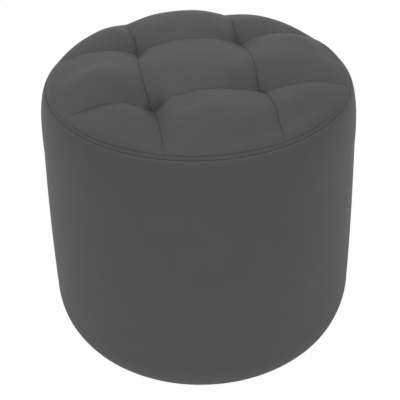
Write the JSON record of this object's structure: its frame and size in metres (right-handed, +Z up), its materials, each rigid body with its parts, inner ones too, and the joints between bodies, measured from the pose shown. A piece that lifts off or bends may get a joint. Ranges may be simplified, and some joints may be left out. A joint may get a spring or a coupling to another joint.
{
  "type": "pouf",
  "caption": "Round upholstered pouf with a biscuit-tufted top of sewn panels, a raised band round the rim and a plain side that spreads slightly towards low hidden feet.",
  "frame": {"origin": "on the floor under the middle of the pouf", "axes": "+Z up along the pouf's axis, -Y towards the front; the top's seams run along X and Y"},
  "size_m": [0.409, 0.409, 0.3821],
  "materials": {
    "leatherette": "satin",
    "foam": "matte",
    "hardboard": "matte",
    "plywood": "matte",
    "pine": "matte",
    "zinc_steel": "satin",
    "twine": "matte",
    "washer_plastic": "satin",
    "dust_cloth": "matte",
    "foot_plastic": "satin"
  },
  "bodies": {
    "root": {"base_board": "plywood", "base_screw_1": "zinc_steel", "base_screw_2": "zinc_steel", "base_screw_3": "zinc_steel", "base_screw_4": "zinc_steel", "base_screw_5": "zinc_steel", "base_screw_6": "zinc_steel", "drum_wall": "hardboard", "dust_cover": "dust_cloth", "foot_1": "foot_plastic", "foot_2": "foot_plastic", "foot_3": "foot_plastic", "foot_4": "foot_plastic", "foot_screw_1": "zinc_steel", "foot_screw_2": "zinc_steel", "foot_screw_3": "zinc_steel", "foot_screw_4": "zinc_steel", "post_1": "pine", "post_2": "pine", "post_3": "pine", "post_4": "pine", "post_5": "pine", "post_6": "pine", "rim_piping": "leatherette", "seat_board": "plywood", "seat_foam": "foam", "seat_screw_1": "zinc_steel", "seat_screw_2": "zinc_steel", "seat_screw_3": "zinc_steel", "seat_screw_4": "zinc_steel", "seat_screw_5": "zinc_steel", "seat_screw_6": "zinc_steel", "side_band": "leatherette", "side_foam": "foam", "tie_washer_1": "washer_plastic", "tie_washer_2": "washer_plastic", "tie_washer_3": "washer_plastic", "tie_washer_4": "washer_plastic", "top_panel_back": "leatherette", "top_panel_back_left": "leatherette", "top_panel_back_right": "leatherette", "top_panel_centre": "leatherette", "top_panel_front": "leatherette", "top_panel_front_left": "leatherette", "top_panel_front_right": "leatherette", "top_panel_left": "leatherette", "top_panel_right": "leatherette", "tuft_tie_1": "twine", "tuft_tie_2": "twine", "tuft_tie_3": "twine", "tuft_tie_4": "twine"}
  },
  "joints": []
}
